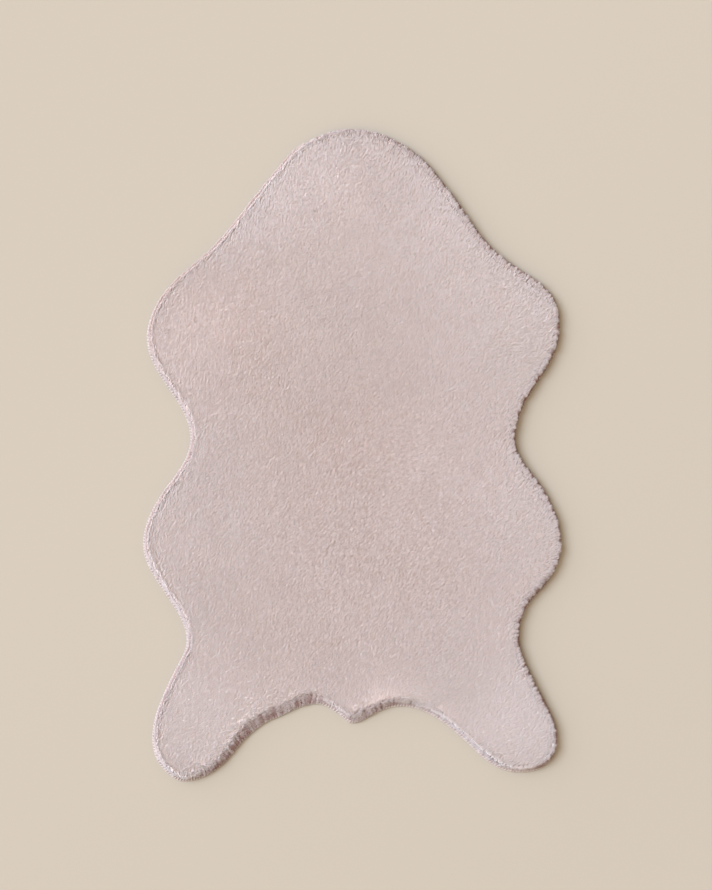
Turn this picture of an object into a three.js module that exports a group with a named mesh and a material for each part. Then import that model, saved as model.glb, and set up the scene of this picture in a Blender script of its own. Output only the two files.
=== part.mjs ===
// A hide-shaped rug of short faux fur, lying flat.
//
// One panel of pile fabric, knitted ground and fur together, is cut to the outline of a stylised
// pelt: a rounded head, two pairs of lobes, two feet and a short tail. Its cut edge is overlocked
// all round with a pale thread. The fur leans towards the head and the right, so it hangs over
// the thread there, and leaves the thread and the side of the pile bare on the left and below.
//
// Millimetres, +Z up. The head points along +Y. The origin is on the floor, under the middle of
// the outline's box.

import * as THREE from "three";

// Heights above the floor.
const PILE_TOP = 17.5;
const SEAM_HEIGHT = 3.0;

// The overlocked thread reaches this far in from the cut edge, and the fabric that it wraps is
// kept clear of it.
const SEAM_WIDTH = 3.0;
const CLEARANCE = 0.3;
const ROOT_INSET = SEAM_WIDTH + CLEARANCE;
const ROOT_HEIGHT = SEAM_HEIGHT + CLEARANCE;

// The tips of the fur lie this far from their roots, and the fibres bend more towards the tip.
const NAP_LEAN = new THREE.Vector2(4.5, 7.0);
const NAP_BEND = 1.2;

// The whole outline is in sight from this point, so rings drawn in towards it never cross.
const MIDDLE = new THREE.Vector2(0, -60);

// The outline seen from above, fur and all, anticlockwise from the head. A row is a place where
// the edge turns or changes its bend, with the heading of the edge there, in degrees from +X.
const OUTLINE = [
  // place, x, y, heading
  ["crown", -3, 427, 180],
  ["crown_left", -61, 409, 209],
  ["left_cheek", -115, 354, 230],
  ["left_slope", -187, 268, 225],
  ["left_shoulder", -248, 210, 235],
  ["left_upper_lobe", -269, 153, 270],
  ["left_upper_run", -242, 89, 304],
  ["left_waist", -212, 21, 270],
  ["left_middle_run", -243, -42, 234],
  ["left_lower_lobe", -274, -118, 270],
  ["left_lower_run", -246, -180, 303],
  ["left_knee", -217, -244, 270],
  ["left_shin", -234, -285, 245],
  ["left_foot_side", -262, -371, 270],
  ["left_heel", -250, -408, 309],
  ["left_foot_tip", -220, -427, 360],
  ["left_instep", -155, -389, 411],
  ["left_arch", -104, -346, 380],
  ["left_arch_top", -51, -326, 365],
  ["tail_left", -14, -342, 326],
  ["tail_tip", -1, -351, 360],
  ["tail_right", 23, -342, 390],
  ["right_arch_top", 63, -329, 360],
  ["right_instep", 144, -371, 318],
  ["right_heel", 190, -409, 334],
  ["right_foot_tip", 228, -415, 364],
  ["right_foot_side", 269, -373, 450],
  ["right_shin", 240, -297, 476],
  ["right_knee", 219, -235, 450],
  ["right_lower_run", 241, -183, 405],
  ["right_lower_lobe", 274, -117, 450],
  ["right_middle_run", 250, -43, 482],
  ["right_waist", 214, 22, 450],
  ["right_upper_run", 238, 88, 416],
  ["right_upper_lobe", 272, 166, 450],
  ["right_shoulder", 256, 217, 494],
  ["right_slope", 202, 256, 503],
  ["right_neck", 151, 313, 484],
  ["right_cheek", 104, 376, 491],
  ["crown_right", 58, 412, 512],
];

// The panel's side, from the floor up. Out is measured from where the fur's outermost roots
// stand, before the nap's lean is added.
const SIDE = [
  // level, out, height
  ["cloth_below", 0, 0],
  ["cloth_above", 0, ROOT_HEIGHT],
  ["skirt", 1.2, 5.0],
  ["widest", 2.5, 9.5],
  ["shoulder", 1.5, 13.5],
  ["brow", -2.5, 16.0],
  ["rim_of_top", -10.0, 17.0],
].map(([level, out, height]) => ({ level, out, height }));

// The top between the rim and the middle, as shares of the way out from the middle.
const TOP_RINGS = [0.8, 0.58, 0.36, 0.16];

// The top lies a little unevenly, in brushed swells that reach SWELL above and below a level just
// under PILE_TOP. Two slanting waves, of these lengths, make them.
const SWELL = 0.4;
const SWELL_LENGTH_ACROSS = 210;
const SWELL_LENGTH_ALONG = 294;
const SWELL_SLANT_ACROSS = 0.4;
const SWELL_SLANT_ALONG = -0.3;

// The section of the overlocked thread: in from the cut edge, and up from the floor.
const SEAM_SECTION = [
  // inward, height
  [0.8, 0],
  [0, 1.5],
  [0.8, SEAM_HEIGHT],
  [2.2, SEAM_HEIGHT],
  [SEAM_WIDTH, 1.5],
  [2.2, 0],
].map(([inward, height]) => ({ inward, height }));

// The outline is drawn in steps that turn no more than this, and are no longer than this.
const STEP_TURN = 9;
const STEP_LENGTH = 20;

// Directions across the edge are evened out over this far, so the rings of the side keep apart
// round the tip of the tail.
const EASING = 20;

const FUR_COLOUR = 0xd8c8c8;
const FUR_ROUGHNESS = 0.95;
const THREAD_COLOUR = 0xece2da;
const THREAD_ROUGHNESS = 0.8;

// A turning point of the outline, ready to draw from.
function turningPoint([, x, y, heading]) {
  const angle = THREE.MathUtils.degToRad(heading);
  return {
    at: new THREE.Vector2(x, y),
    along: new THREE.Vector2(Math.cos(angle), Math.sin(angle)),
  };
}

// The points from one turning point up to the next. The handles of the curve are as long as
// those of a circular arc that turns as much.
function edgeBetween(start, end) {
  const chord = start.at.distanceTo(end.at);
  const turn = Math.acos(THREE.MathUtils.clamp(start.along.dot(end.along), -1, 1));
  const reach = chord / (3 * Math.cos(turn / 4) ** 2);
  const curve = new THREE.CubicBezierCurve(
    start.at,
    start.at.clone().addScaledVector(start.along, reach),
    end.at.clone().addScaledVector(end.along, -reach),
    end.at,
  );
  const steps = Math.ceil(
    Math.max(THREE.MathUtils.radToDeg(turn) / STEP_TURN, curve.getLength() / STEP_LENGTH, 2),
  );
  return curve.getPoints(steps).slice(0, -1);
}

// How much of the nap's lean the fur has at a height: none at the roots, all at the top.
function leanShare(height) {
  const up = Math.max(0, height - ROOT_HEIGHT) / (PILE_TOP - ROOT_HEIGHT);
  return up ** NAP_BEND;
}

// How far the fur hangs out past the cut edge, where the edge faces this way.
function overhang(facing) {
  const reaches = SIDE.map(({ out, height }) => out + leanShare(height) * NAP_LEAN.dot(facing));
  return Math.max(0, Math.max(...reaches) - ROOT_INSET);
}

// The rug's edge as a loop of stations. Each has a point on the cut edge and the direction that
// the edge faces.
function edgeStations() {
  const turns = OUTLINE.map(turningPoint);
  const seen = turns.flatMap((turn, i) => edgeBetween(turn, turns[(i + 1) % turns.length]));
  const facings = seen.map((_, i) => {
    const before = seen[(i + seen.length - 1) % seen.length];
    const after = seen[(i + 1) % seen.length];
    return new THREE.Vector2(after.y - before.y, before.x - after.x).normalize();
  });
  return seen.map((point) => {
    const facing = new THREE.Vector2();
    seen.forEach((other, j) => {
      const weight = Math.max(0, 1 - point.distanceTo(other) / EASING);
      facing.addScaledVector(facings[j], weight);
    });
    facing.normalize();
    return { cut: point.clone().addScaledVector(facing, -overhang(facing)), facing };
  });
}

// One ring of the panel's side, leaning with the nap.
function sideRing(stations, { out, height }) {
  return stations.map(({ cut, facing }) => {
    const at = cut.clone();
    at.addScaledVector(facing, out - ROOT_INSET);
    at.addScaledVector(NAP_LEAN, leanShare(height));
    return new THREE.Vector3(at.x, at.y, height);
  });
}

// The height of the brushed top at a place.
function topHeight(x, y) {
  const across = Math.sin((2 * Math.PI * (x + SWELL_SLANT_ACROSS * y)) / SWELL_LENGTH_ACROSS);
  const along = Math.cos((2 * Math.PI * (y + SWELL_SLANT_ALONG * x)) / SWELL_LENGTH_ALONG);
  return PILE_TOP - SWELL + SWELL * across * along;
}

// One ring of the top, this share of the way out from the middle to the rim.
function topRing(rim, share) {
  return rim.map(({ x, y }) => {
    const at = MIDDLE.clone().lerp(new THREE.Vector2(x, y), share);
    return new THREE.Vector3(at.x, at.y, topHeight(at.x, at.y));
  });
}

// Triangles between two neighbouring rings of a mesh, the lower one first.
function bandFaces(lower, upper, count) {
  const faces = [];
  for (let i = 0; i < count; i += 1) {
    const next = (i + 1) % count;
    faces.push(lower + i, lower + next, upper + next);
    faces.push(lower + i, upper + next, upper + i);
  }
  return faces;
}

function geometryOf(points, faces) {
  const geometry = new THREE.BufferGeometry();
  const numbers = points.flatMap(({ x, y, z }) => [x, y, z]);
  geometry.setAttribute("position", new THREE.Float32BufferAttribute(numbers, 3));
  geometry.setIndex(faces);
  geometry.computeVertexNormals();
  return geometry;
}

// The pile fabric: a flat underside, the leaning side, and the top drawn in to one point.
function panelGeometry(stations) {
  const count = stations.length;
  const side = SIDE.map((level) => sideRing(stations, level));
  const top = TOP_RINGS.map((share) => topRing(side.at(-1), share));
  const rings = [...side, ...top];
  const centre = new THREE.Vector3(MIDDLE.x, MIDDLE.y, topHeight(MIDDLE.x, MIDDLE.y));
  const points = [...rings.flat(), centre];

  const faces = rings.slice(1).flatMap((_, i) => bandFaces(i * count, (i + 1) * count, count));
  const lastRing = (rings.length - 1) * count;
  for (let i = 0; i < count; i += 1) {
    faces.push(lastRing + i, lastRing + ((i + 1) % count), points.length - 1);
  }
  const below = side[0].map(({ x, y }) => new THREE.Vector2(x, y));
  for (const [a, b, c] of THREE.ShapeUtils.triangulateShape(below, [])) {
    faces.push(a, c, b);
  }
  return geometryOf(points, faces);
}

// The overlocked thread: its section carried round the cut edge, closed on itself.
function seamGeometry(stations) {
  const count = stations.length;
  const rings = SEAM_SECTION.map(({ inward, height }) =>
    stations.map(({ cut, facing }) => {
      const at = cut.clone().addScaledVector(facing, -inward);
      return new THREE.Vector3(at.x, at.y, height);
    }),
  );
  const faces = rings.flatMap((_, i) =>
    bandFaces(i * count, ((i + 1) % rings.length) * count, count),
  );
  return geometryOf(rings.flat(), faces);
}

function piece(name, geometry, color, roughness) {
  const material = new THREE.MeshStandardMaterial({ color, roughness, metalness: 0 });
  const mesh = new THREE.Mesh(geometry, material);
  mesh.name = name;
  return mesh;
}

const stations = edgeStations();
const rug = new THREE.Group();
rug.add(piece("fur_panel", panelGeometry(stations), FUR_COLOUR, FUR_ROUGHNESS));
rug.add(piece("overlocked_edge", seamGeometry(stations), THREAD_COLOUR, THREAD_ROUGHNESS));

export default rug;
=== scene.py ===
"""The looks of a hide-shaped shag rug of short faux fur, lying flat on the floor.

The rug is one panel of pile fabric, cut to a stylised pelt and overlocked round its edge. Here it
is a knitted ground cloth, a dense bed of fur roots, the fur itself as many small tufts in five
zones, and the thread that binds the cut edge. Everything is in metres. The head points along +Y,
and the rug lies on the floor at height 0.
"""

import sys
import logging
import math
from collections.abc import Iterable
from dataclasses import dataclass, fields
from enum import Enum

import bpy
import numpy as np
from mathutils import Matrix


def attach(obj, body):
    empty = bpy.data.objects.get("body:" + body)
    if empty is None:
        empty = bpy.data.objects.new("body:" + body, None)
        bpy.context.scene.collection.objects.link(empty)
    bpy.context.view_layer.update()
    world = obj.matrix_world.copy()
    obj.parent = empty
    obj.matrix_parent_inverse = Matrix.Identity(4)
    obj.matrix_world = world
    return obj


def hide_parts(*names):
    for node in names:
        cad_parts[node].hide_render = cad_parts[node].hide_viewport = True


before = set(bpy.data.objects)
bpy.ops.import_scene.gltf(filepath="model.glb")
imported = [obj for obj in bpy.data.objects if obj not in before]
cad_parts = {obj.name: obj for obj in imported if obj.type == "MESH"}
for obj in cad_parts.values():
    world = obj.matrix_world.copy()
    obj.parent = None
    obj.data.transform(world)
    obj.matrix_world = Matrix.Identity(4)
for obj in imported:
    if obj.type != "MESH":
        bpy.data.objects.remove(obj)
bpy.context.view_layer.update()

LOG = logging.getLogger("shag_rug")

MM = 0.001

# The photograph's frame in pixels, the real size of a pixel on the floor, and the pixel that
# shows the rug's origin.
FRAME_PIXELS = (712, 890)
PIXEL = 1.31 * MM
ORIGIN_PIXEL = (352.5, 454.85)

# Heights of the layers above the floor.
CLOTH_BOTTOM = 0.2 * MM
CLOTH_TOP = 2.2 * MM
PILE_TOP = 17.5 * MM

# The overlocked thread covers this much of the cloth, from the cut edge inwards, and the fur's
# outermost roots stand behind it.
ROOT_INSET = 3.3 * MM

# The whole outline is in sight from this point, so rings drawn in towards it never cross.
MIDDLE = np.array([0.0, -0.060])

# The outline seen from above, fur and all, anticlockwise from the head. A row is a place where
# the edge turns or changes its bend, with the heading of the edge there, in degrees from +X.
OUTLINE = (
    # place, x, y, heading
    ("crown", -0.003, 0.427, 180),
    ("crown_left", -0.061, 0.409, 209),
    ("left_cheek", -0.115, 0.354, 230),
    ("left_slope", -0.187, 0.268, 225),
    ("left_shoulder", -0.248, 0.210, 235),
    ("left_upper_lobe", -0.269, 0.153, 270),
    ("left_upper_run", -0.242, 0.089, 304),
    ("left_waist", -0.212, 0.021, 270),
    ("left_middle_run", -0.243, -0.042, 234),
    ("left_lower_lobe", -0.274, -0.118, 270),
    ("left_lower_run", -0.246, -0.180, 303),
    ("left_knee", -0.217, -0.244, 270),
    ("left_shin", -0.234, -0.285, 245),
    ("left_foot_side", -0.262, -0.371, 270),
    ("left_heel", -0.250, -0.408, 309),
    ("left_foot_tip", -0.220, -0.427, 360),
    ("left_instep", -0.155, -0.389, 411),
    ("left_arch", -0.104, -0.346, 380),
    ("left_arch_top", -0.051, -0.326, 365),
    ("tail_left", -0.014, -0.342, 326),
    ("tail_tip", -0.001, -0.351, 360),
    ("tail_right", 0.023, -0.342, 390),
    ("right_arch_top", 0.063, -0.329, 360),
    ("right_instep", 0.144, -0.371, 318),
    ("right_heel", 0.190, -0.409, 334),
    ("right_foot_tip", 0.228, -0.415, 364),
    ("right_foot_side", 0.269, -0.373, 450),
    ("right_shin", 0.240, -0.297, 476),
    ("right_knee", 0.219, -0.235, 450),
    ("right_lower_run", 0.241, -0.183, 405),
    ("right_lower_lobe", 0.274, -0.117, 450),
    ("right_middle_run", 0.250, -0.043, 482),
    ("right_waist", 0.214, 0.022, 450),
    ("right_upper_run", 0.238, 0.088, 416),
    ("right_upper_lobe", 0.272, 0.166, 450),
    ("right_shoulder", 0.256, 0.217, 494),
    ("right_slope", 0.202, 0.256, 503),
    ("right_neck", 0.151, 0.313, 484),
    ("right_cheek", 0.104, 0.376, 491),
    ("crown_right", 0.058, 0.412, 512),
)

# Heights on the side of the pile: of the roots, and of the level that stands out furthest.
ROOT_HEIGHT = 3.3 * MM
WIDEST = 9.5 * MM

# The side of the pile, from the cloth up. Out is measured from the outermost roots, before the
# nap's lean is added.
SIDE = (
    # level, out, height
    ("cloth", 0.0, ROOT_HEIGHT),
    ("skirt", 1.2 * MM, 5.0 * MM),
    ("widest", 2.5 * MM, WIDEST),
    ("shoulder", 1.5 * MM, 13.5 * MM),
    ("brow", -2.5 * MM, 16.0 * MM),
    ("rim_of_top", -10.0 * MM, 17.0 * MM),
)

# How far the tips at the rim lie from their roots, and how much more the fibres bend there.
RIM_LEAN = np.array([4.5 * MM, 7.0 * MM])
RIM_BEND = 1.2

# The way to the light, seen from above: the side of the pile that faces it is seen bright.
SUNWARD = np.array([-0.87, 0.49])

# The UV map that the fur's colours go by.
UV_MAP = "OFBake"

# Large odd numbers that mix up a lattice point's column, row and seed, and the bits that are kept.
COLUMN_FACTOR, ROW_FACTOR, SEED_FACTOR, LAST_FACTOR = 374761393, 668265263, 974634777, 1274126177
KEPT_BITS = 0xFFFFFFFF

# The sockets of a Mix node that mixes colours: its share, its two colours, and what comes out.
SHARE, FIRST, SECOND, MIXED = 0, 6, 7, 2

# How far a Wave texture's phase goes on over a metre at scale 1, in radians.
WAVE_PHASE = 20


def linear(colour: str) -> tuple[float, float, float, float]:
    """Turns an sRGB hex colour into the linear values that a shader takes.

    Args:
        colour: Six hex digits, such as "d8c8c8".

    Returns:
        Linear red, green and blue, and an alpha of 1.
    """
    parts = np.array([int(colour[i : i + 2], 16) for i in (0, 2, 4)]) / 255.0
    low = parts / 12.92
    high = ((parts + 0.055) / 1.055) ** 2.4
    return (*np.where(parts <= 0.04045, low, high).tolist(), 1.0)


def add_node(
    tree: bpy.types.NodeTree, kind: str, sockets: dict | None = None, **settings: object
) -> bpy.types.Node:
    """Adds one node to a tree, with its settings, constants and links.

    Args:
        tree: The node tree of a material or of the world.
        kind: The node's type, such as "ShaderNodeTexNoise".
        sockets: For an input's name or number, an output socket to link or a constant.
        **settings: The node's own properties.

    Returns:
        The new node.
    """
    node = tree.nodes.new(kind)
    for name, value in settings.items():
        setattr(node, name, value)
    for name, value in (sockets or {}).items():
        if isinstance(value, bpy.types.NodeSocket):
            tree.links.new(value, node.inputs[name])
        else:
            node.inputs[name].default_value = value
    return node


def lattice_value(column: np.ndarray, row: np.ndarray, seed: int) -> np.ndarray:
    """Gives each lattice point a fixed random value.

    The column, row and seed are mixed by multiplying with large odd numbers and folding the high
    bits onto the low ones.

    Args:
        column: Whole numbers.
        row: Whole numbers, as many.
        seed: Chooses another set of values.

    Returns:
        Values from -1 to 1.
    """
    mixed = column.astype(np.int64) * COLUMN_FACTOR + row.astype(np.int64) * ROW_FACTOR
    mixed = (mixed + seed * SEED_FACTOR) & KEPT_BITS
    mixed = ((mixed ^ (mixed >> 13)) * LAST_FACTOR) & KEPT_BITS
    mixed = mixed ^ (mixed >> 16)
    return mixed / float(KEPT_BITS // 2) - 1.0


def soft_noise(at: np.ndarray, size: float | tuple[float, float], seed: int) -> np.ndarray:
    """Smooth noise over the floor.

    Random heights stand on a lattice of this size, and between four of them the height is their
    mean, weighted by 3t² - 2t³ of the way across each axis.

    Args:
        at: Points, one row each, with two columns.
        size: The lattice's step in metres, or its two steps.
        seed: Chooses another pattern.

    Returns:
        One value for each point, from -1 to 1.
    """
    scaled = at / np.asarray(size)
    cell = np.floor(scaled)
    share = scaled - cell
    ease = share * share * (3 - 2 * share)
    column, row = cell[:, 0], cell[:, 1]
    low = lattice_value(column, row, seed) * (1 - ease[:, 0])
    low = low + lattice_value(column + 1, row, seed) * ease[:, 0]
    high = lattice_value(column, row + 1, seed) * (1 - ease[:, 0])
    high = high + lattice_value(column + 1, row + 1, seed) * ease[:, 0]
    return low * (1 - ease[:, 1]) + high * ease[:, 1]


def build_mesh(
    name: str,
    points: np.ndarray,
    faces: np.ndarray,
    uvs: np.ndarray | None = None,
    normals: np.ndarray | None = None,
) -> bpy.types.Object:
    """Puts whole arrays into a smooth-shaded mesh object at the origin.

    Args:
        name: The piece's name.
        points: Vertices, one row each.
        faces: Vertex numbers, one row for each face, all with as many corners.
        uvs: One row for each face's corner, in order, for the fur's UV map.
        normals: The way that the shading takes each vertex to face, where it is not the mesh's.

    Returns:
        The object, linked into the scene.
    """
    mesh = bpy.data.meshes.new(name)
    count, corners = faces.shape
    mesh.vertices.add(len(points))
    mesh.vertices.foreach_set("co", points.astype(np.float32).ravel())
    mesh.loops.add(count * corners)
    mesh.loops.foreach_set("vertex_index", faces.astype(np.int32).ravel())
    mesh.polygons.add(count)
    mesh.polygons.foreach_set("loop_start", np.arange(count, dtype=np.int32) * corners)
    mesh.polygons.foreach_set("use_smooth", np.ones(count, dtype=bool))
    if uvs is not None:
        layer = mesh.uv_layers.new(name=UV_MAP)
        layer.data.foreach_set("uv", uvs.astype(np.float32).ravel())
    mesh.update(calc_edges=True)
    mesh.validate()
    if normals is not None:
        mesh.normals_split_custom_set_from_vertices(normals.astype(np.float32))
    piece = bpy.data.objects.new(name, mesh)
    bpy.context.scene.collection.objects.link(piece)
    return piece


def dress(
    pieces: Iterable[bpy.types.Object], material: bpy.types.Material, node: str
) -> None:
    """Gives pieces their material, and lets them ride on the rug's one body.

    Args:
        pieces: The pieces.
        material: What they are made of.
        node: The CAD node that they replace.
    """
    for piece in pieces:
        piece.data.materials.append(material)
        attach(piece, "root")
        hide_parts(node)


def ring_faces(rings: int, around: int) -> np.ndarray:
    """Triangles between neighbouring rings, each ring closed on itself.

    Corner numbers count round a ring and then from ring to ring. A face of four goes along the
    earlier ring and back along the later one, and the same diagonal splits each.

    Args:
        rings: How many rings there are.
        around: How many points a ring has.

    Returns:
        Vertex numbers, one row for each triangle.
    """
    ring, place = np.meshgrid(np.arange(rings - 1), np.arange(around), indexing="ij")
    after = (place + 1) % around
    low, high = ring * around, (ring + 1) * around
    quads = np.stack([low + place, low + after, high + after, high + place], axis=-1).reshape(-1, 4)
    return np.concatenate([quads[:, [0, 1, 2]], quads[:, [0, 2, 3]]])


def level_ring(flat: np.ndarray, height: float) -> np.ndarray:
    """Puts a ring that is seen from above at one height."""
    return np.column_stack([flat, np.full(len(flat), height)])


def drawn_in(rim: np.ndarray, share: float) -> np.ndarray:
    """Draws a rim in towards the middle, to a share of its size."""
    return MIDDLE + (rim - MIDDLE) * share


def build_shell(name: str, rings: list[np.ndarray]) -> bpy.types.Object:
    """Builds a closed shell from rings round the middle, from its underside to its top.

    Triangles join neighbouring rings. A fan from a point at the middle closes the first ring,
    facing down, and another closes the last, facing up, each at its ring's own height.

    Args:
        name: The piece's name.
        rings: The rings, all with as many points, anticlockwise from above.

    Returns:
        The piece.
    """
    around = len(rings[0])
    ends = [[*MIDDLE, rings[0][0, 2]], [*MIDDLE, rings[-1][0, 2]]]
    points = np.vstack([*rings, ends])
    place = np.arange(around)
    after = (place + 1) % around
    last = (len(rings) - 1) * around
    low_end, high_end = np.full(around, len(points) - 2), np.full(around, len(points) - 1)
    faces = [
        ring_faces(len(rings), around),
        np.stack([after, place, low_end], axis=1),
        np.stack([last + place, last + after, high_end], axis=1),
    ]
    return build_mesh(name, points, np.concatenate(faces))


def along_edge(facing: np.ndarray) -> np.ndarray:
    """The way along the edge, a quarter turn from the way that it faces."""
    return np.stack([-facing[:, 1], facing[:, 0]], axis=1)


def fading(depth: np.ndarray, reach: float) -> np.ndarray:
    """One at no depth, and falling off exponentially over this reach."""
    return np.exp(-depth / reach)


def bell(apart: np.ndarray, reach: float) -> np.ndarray:
    """One where nothing is apart, and falling off as a Gaussian of this reach."""
    return np.exp(-((apart / reach) ** 2))


def lean_share(height: np.ndarray | float) -> np.ndarray:
    """How much of the rim's lean the fur has at a height: none at the roots, all at the top."""
    return (np.maximum(0, height - ROOT_HEIGHT) / (PILE_TOP - ROOT_HEIGHT)) ** RIM_BEND


def even_steps(line: np.ndarray, spacing: float, *others: np.ndarray) -> tuple[list[np.ndarray], float]:
    """Goes along a closed line in even steps, with whole steps all round.

    Args:
        line: The line's points, in two columns.
        spacing: The length of a step, before it is rounded.
        *others: Values that belong to the line's points, in two columns.

    Returns:
        The points at the steps and the others' values there, each found between the line's own
        points by its length, and the length of a step.
    """
    closed = [np.vstack([values, values[:1]]) for values in (line, *others)]
    length = np.concatenate([[0], np.cumsum(np.linalg.norm(np.diff(closed[0], axis=0), axis=1))])
    count = round(length[-1] / spacing)
    at = np.arange(count) * length[-1] / count
    stepped = [
        np.stack([np.interp(at, length, values[:, i]) for i in (0, 1)], axis=1) for values in closed
    ]
    return stepped, length[-1] / count


@dataclass
class CutEdge:
    """The rug's edge, as stations an even way apart.

    Attributes:
        spacing: How far apart the stations are.
        close: Nearer the edge than this, a point's distance is measured square to it.
        easing: How far the directions across the edge are evened out.
        steps: How many points are drawn from one turning point up to the next.
        halvings: How often a span of heights is halved in the search for the side.
        chunk: How many points are looked up at once.
        facing: The direction that the edge faces at each station, as a unit vector.
        cut: Where the cloth is cut, under the fur's overhang.
        overhang: How far the fur hangs out past the cut.
    """

    spacing: float = 2.0 * MM
    close: float = 6.0 * MM
    easing: float = 20 * MM
    steps: int = 40
    halvings: int = 6
    chunk: int = 8000

    def __post_init__(self) -> None:
        """Draws the outline and works out the stations."""
        (seen,), _ = even_steps(self._drawn(), self.spacing)
        raw = along_edge(np.roll(seen, 1, axis=0) - np.roll(seen, -1, axis=0))
        raw = raw / np.linalg.norm(raw, axis=1, keepdims=True)
        apart = np.linalg.norm(seen[:, None] - seen[None], axis=2)
        eased = np.maximum(0, 1 - apart / self.easing) @ raw
        self.facing = eased / np.linalg.norm(eased, axis=1, keepdims=True)
        self.overhang = self._overhang()
        self.cut = seen - self.facing * self.overhang[:, None]

    def _drawn(self) -> np.ndarray:
        """Draws the outline.

        Between two turning points runs a cubic curve whose handles lie along the two headings,
        and are as long as those of a circular arc that turns as much: the chord over three times
        the squared cosine of a quarter of the turn.

        Returns:
            Points along the whole outline.
        """
        start = np.array([row[1:3] for row in OUTLINE])
        heading = np.radians([row[3] for row in OUTLINE])
        along = np.stack([np.cos(heading), np.sin(heading)], axis=1)
        end, along_end = np.roll(start, -1, axis=0), np.roll(along, -1, axis=0)
        chord = np.linalg.norm(end - start, axis=1)
        turn = np.arccos(np.clip((along * along_end).sum(1), -1, 1))
        reach = (chord / (3 * np.cos(turn / 4) ** 2))[:, None]
        t = (np.arange(self.steps) / self.steps)[None, :, None]
        points = (
            start[:, None] * (1 - t) ** 3
            + (start + along * reach)[:, None] * 3 * t * (1 - t) ** 2
            + (end - along_end * reach)[:, None] * 3 * t**2 * (1 - t)
            + end[:, None] * t**3
        )
        return points.reshape(-1, 2)

    def _overhang(self) -> np.ndarray:
        """Works out how far the fur hangs out past the cut.

        It is the furthest of the side's levels: its own way out, and the lean's share at its
        height along the facing, less the roots' inset.

        Returns:
            One value for each station.
        """
        lean = self.facing @ RIM_LEAN
        reaches = [out + lean_share(height) * lean for _, out, height in SIDE]
        return np.maximum(0, np.max(reaches, axis=0) - ROOT_INSET)

    def side_out(self, height: np.ndarray, station: np.ndarray) -> np.ndarray:
        """Works out how far outside the outermost roots the side of the pile is.

        Args:
            height: Heights above the top of the cloth.
            station: The number of the nearest station of each.

        Returns:
            The side's own way out at each height, and the lean's share of it along the facing.
        """
        level = np.minimum(height + CLOTH_TOP, PILE_TOP)
        out = np.interp(level, [row[2] for row in SIDE], [row[1] for row in SIDE])
        return out + lean_share(level) * (self.facing[station] @ RIM_LEAN)

    def side_top(self, out: np.ndarray, height: np.ndarray, station: np.ndarray) -> np.ndarray:
        """Finds how high a tip can be, this far out, without passing the side of the pile.

        The span from the side's widest level up to the tip's own height is halved a few times.

        Args:
            out: How far outside the outermost roots each tip is.
            height: The height that each would have, above the top of the cloth.
            station: The number of the nearest station of each.

        Returns:
            The heights, lowered to the side where they passed it.
        """
        low = np.full(len(height), WIDEST - CLOTH_TOP)
        high = np.maximum(height, low)
        for _ in range(self.halvings):
            half = (low + high) / 2
            inside = self.side_out(half, station) >= out
            low = np.where(inside, half, low)
            high = np.where(inside, high, half)
        return np.where(self.side_out(height, station) >= out, height, np.minimum(low, height))

    def nearest(self, at: np.ndarray) -> tuple[np.ndarray, np.ndarray]:
        """Finds the station nearest each point.

        Args:
            at: Points, one row each.

        Returns:
            The stations' numbers, and how far inside the cut edge each point lies, which is
            negative outside it.
        """
        found = np.empty(len(at), dtype=np.int64)
        for start in range(0, len(at), self.chunk):
            part = at[start : start + self.chunk]
            apart = (part[:, None, 0] - self.cut[None, :, 0]) ** 2
            apart += (part[:, None, 1] - self.cut[None, :, 1]) ** 2
            found[start : start + self.chunk] = apart.argmin(axis=1)
        inset = ((self.cut[found] - at) * self.facing[found]).sum(1)
        far = np.linalg.norm(self.cut[found] - at, axis=1)
        return found, np.sign(inset) * np.maximum(np.abs(inset), far * (far > self.close))


@dataclass(frozen=True)
class Spot:
    """A round place on the rug.

    Attributes:
        x: Where its middle lies.
        y: Where its middle lies.
        radius: How far it reaches.
    """

    x: float
    y: float
    radius: float

    def bell(self, at: np.ndarray) -> np.ndarray:
        """One at the middle, falling off as a Gaussian of the radius."""
        apart = (at[:, 0] - self.x) ** 2 + (at[:, 1] - self.y) ** 2
        return np.exp(-apart / self.radius**2)


@dataclass(frozen=True)
class BrushMark(Spot):
    """A place where a hand has turned the nap.

    Attributes:
        turn: How far the nap turns at its middle, in degrees.
        press: How much lower the fur lies at its middle, as a share.
    """

    turn: float
    press: float


@dataclass(frozen=True)
class ToneMark(Spot):
    """A place where the fur is paler or darker than round it.

    Attributes:
        change: How much the tint changes at its middle.
    """

    change: float


@dataclass(frozen=True)
class Ruffle(Spot):
    """A stretch of the edge where the fur is ruffled.

    Attributes:
        depth: How far the side of the pile is opened, down to its roots, from 0 to 1.
        comb: How far the fur is combed over the edge, from 0 to 1.
    """

    depth: float
    comb: float


def spread(spots: Iterable[Spot], amounts: Iterable[float], at: np.ndarray) -> np.ndarray:
    """Adds up, at each point, every spot's amount times its bell."""
    return sum(amount * spot.bell(at) for spot, amount in zip(spots, amounts))


def openness(ruffles: tuple[Ruffle, ...], at: np.ndarray) -> np.ndarray:
    """How far the side of the pile is ruffled open near each point, from 0 to 1."""
    return np.minimum(1, spread(ruffles, [ruffle.depth for ruffle in ruffles], at))


@dataclass(frozen=True)
class Swell:
    """A pattern of chance that changes smoothly over the rug.

    Attributes:
        size: The step of its lattice, or its two steps across and along the nap.
        amount: How much it adds or takes away at most.
        seed: Chooses the pattern.
    """

    size: float | tuple[float, float]
    amount: float
    seed: int

    def over(self, at: np.ndarray) -> np.ndarray:
        """What it adds at each point."""
        return self.amount * soft_noise(at, self.size, self.seed)


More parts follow.
